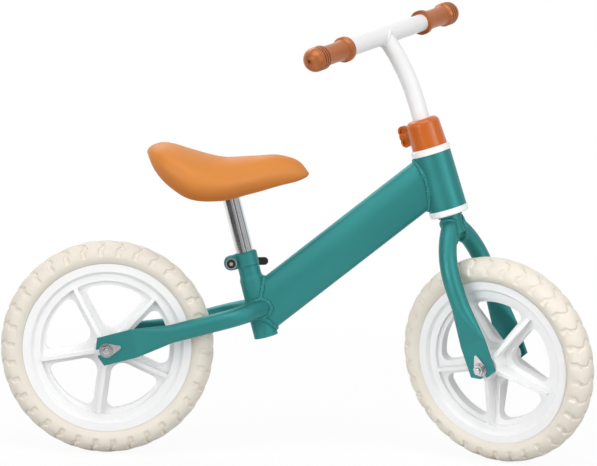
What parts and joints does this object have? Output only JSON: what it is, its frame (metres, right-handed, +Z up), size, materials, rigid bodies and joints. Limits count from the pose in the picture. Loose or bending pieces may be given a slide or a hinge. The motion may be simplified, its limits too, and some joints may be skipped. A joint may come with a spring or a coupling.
{
  "type": "balance bike",
  "caption": "Child's pedal-less balance bike: steel tube frame, moulded spoked wheels with foam tyres, turning fork and T-bar, height-adjustable padded saddle.",
  "frame": {"origin": "on the ground, halfway between the axles, on the frame's middle plane", "axes": "+X forward along the frame, +Y to the rider's left, +Z up"},
  "size_m": [0.8304, 0.317, 0.6515],
  "materials": {
    "frame_paint": "teal gloss paint over steel tube",
    "clamp_paint": "teal gloss paint over an aluminium clamp",
    "bar_paint": "white gloss paint over steel tube",
    "post_chrome": "bright plated steel",
    "hardware_steel": "zinc-plated steel",
    "clamp_steel": "bright turned steel",
    "collar_plastic": "glossy orange moulding",
    "grip_rubber": "matt brown moulded rubber",
    "saddle_skin": "orange grained artificial leather over foam",
    "saddle_base_plastic": "dark moulded tray under the pad",
    "rim_plastic": "white satin moulding",
    "bush_plastic": "white moulded bearing plastic",
    "tyre_foam": "cream foam with a matt skin",
    "black_plastic": "black satin moulding"
  },
  "bodies": {
    "frame": {"head_tube": "frame_paint", "down_tube": "frame_paint", "seat_tube": "frame_paint", "chainstay_right": "frame_paint", "chainstay_left": "frame_paint", "headset_bush_upper": "bush_plastic", "headset_bush_lower": "bush_plastic", "rear_axle": "hardware_steel", "rear_axle_sleeve_right": "hardware_steel", "rear_axle_sleeve_left": "hardware_steel", "rear_tab_washer_right": "hardware_steel", "rear_tab_washer_left": "hardware_steel", "rear_axle_nut_right": "hardware_steel", "rear_axle_nut_left": "hardware_steel", "seat_clamp_collar": "clamp_paint", "clamp_nut": "clamp_steel", "clamp_nut_ring": "black_plastic", "clamp_washer": "clamp_steel", "clamp_skewer": "hardware_steel", "clamp_lever_pin": "hardware_steel"},
    "fork": {"steerer_tube": "frame_paint", "fork_blade_right": "frame_paint", "fork_blade_left": "frame_paint", "front_axle": "hardware_steel", "front_axle_sleeve_right": "hardware_steel", "front_axle_sleeve_left": "hardware_steel", "front_tab_washer_right": "hardware_steel", "front_tab_washer_left": "hardware_steel", "front_axle_nut_right": "hardware_steel", "front_axle_nut_left": "hardware_steel", "handlebar_clamp_collar": "collar_plastic"},
    "front_wheel": {"front_rim": "rim_plastic", "front_spider": "rim_plastic", "front_tyre": "tyre_foam", "front_hub_bush_right": "bush_plastic", "front_hub_bush_left": "bush_plastic"},
    "rear_wheel": {"rear_rim": "rim_plastic", "rear_spider": "rim_plastic", "rear_tyre": "tyre_foam", "rear_hub_bush_right": "bush_plastic", "rear_hub_bush_left": "bush_plastic"},
    "seat": {"seat_post": "post_chrome", "saddle_base": "saddle_base_plastic", "saddle_pad": "saddle_skin"},
    "handlebar": {"handlebar_stem": "bar_paint", "handlebar_crossbar": "bar_paint", "grip_left": "grip_rubber", "grip_right": "grip_rubber"},
    "clamp_lever": {"clamp_lever": "black_plastic"},
    "wing_knob": {"wing_knob": "collar_plastic", "clamp_bolt": "hardware_steel"}
  },
  "joints": [
    {"name": "steering", "type": "hinge", "parent": "frame", "child": "fork", "pos_m": [0.27037, 0, 0.14583], "axis": [-0.3223, 0, 0.9466], "continuous": true},
    {"name": "front_wheel_spin", "type": "hinge", "parent": "fork", "child": "front_wheel", "pos_m": [0.27567, -0.00421, 0.14763], "axis": [0.5697, 0.7986, 0.1939], "continuous": true},
    {"name": "rear_wheel_spin", "type": "hinge", "parent": "frame", "child": "rear_wheel", "pos_m": [-0.277, 0, 0.15], "axis": [0, 1, 0], "continuous": true},
    {"name": "seat_height", "type": "slide", "parent": "frame", "child": "seat", "axis": [-0.2756, 0, 0.9613], "range_m": [-0.055, 0.01]},
    {"name": "handlebar_height", "type": "slide", "parent": "fork", "child": "handlebar", "axis": [-0.3223, 0, 0.9466], "range_m": [-0.025, 0.025]},
    {"name": "clamp_lever_swing", "type": "hinge", "parent": "frame", "child": "clamp_lever", "pos_m": [-0.10647, 0.0203, 0.27337], "axis": [-0.0523, 0, 0.9986], "range_deg": [0, 170]},
    {"name": "wing_knob_turn", "type": "hinge", "parent": "fork", "child": "wing_knob", "pos_m": [0.16087, 0, 0.4675], "axis": [-0.756, 0.6018, -0.2574], "continuous": true}
  ]
}
